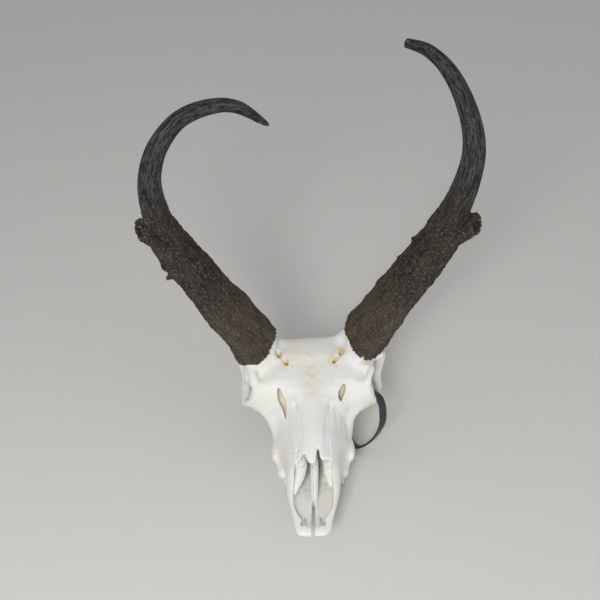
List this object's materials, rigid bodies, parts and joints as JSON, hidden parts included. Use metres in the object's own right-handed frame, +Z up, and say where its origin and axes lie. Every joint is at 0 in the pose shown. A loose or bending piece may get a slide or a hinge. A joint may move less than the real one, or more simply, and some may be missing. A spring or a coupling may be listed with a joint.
{
  "type": "pronghorn skull",
  "caption": "Life-size pronghorn skull without its lower jaw, with two black pronged horn sheaths and a plain black band through one eye socket, lying on its teeth.",
  "frame": {"origin": "bottom centre of the whole part's bounding box, on the floor that the teeth stand on", "axes": "+Z up, the skull resting upright on its teeth; -Y the way the snout points; +X to the animal's left"},
  "size_m": [0.3194, 0.2592, 0.3955],
  "materials": {
    "bone": "bleached bone, off-white with faint warm yellow patches",
    "horn": "dark brown-black horn, rough like bark below and smoother with long grooves above",
    "band": "plain black moulded plastic"
  },
  "bodies": {
    "root": {"cranium": "bone", "face": "bone", "nasals": "bone", "premaxilla_left": "bone", "premaxilla_right": "bone", "horn_sheath_left": "horn", "horn_sheath_right": "horn", "tag_band": "band"}
  },
  "joints": []
}
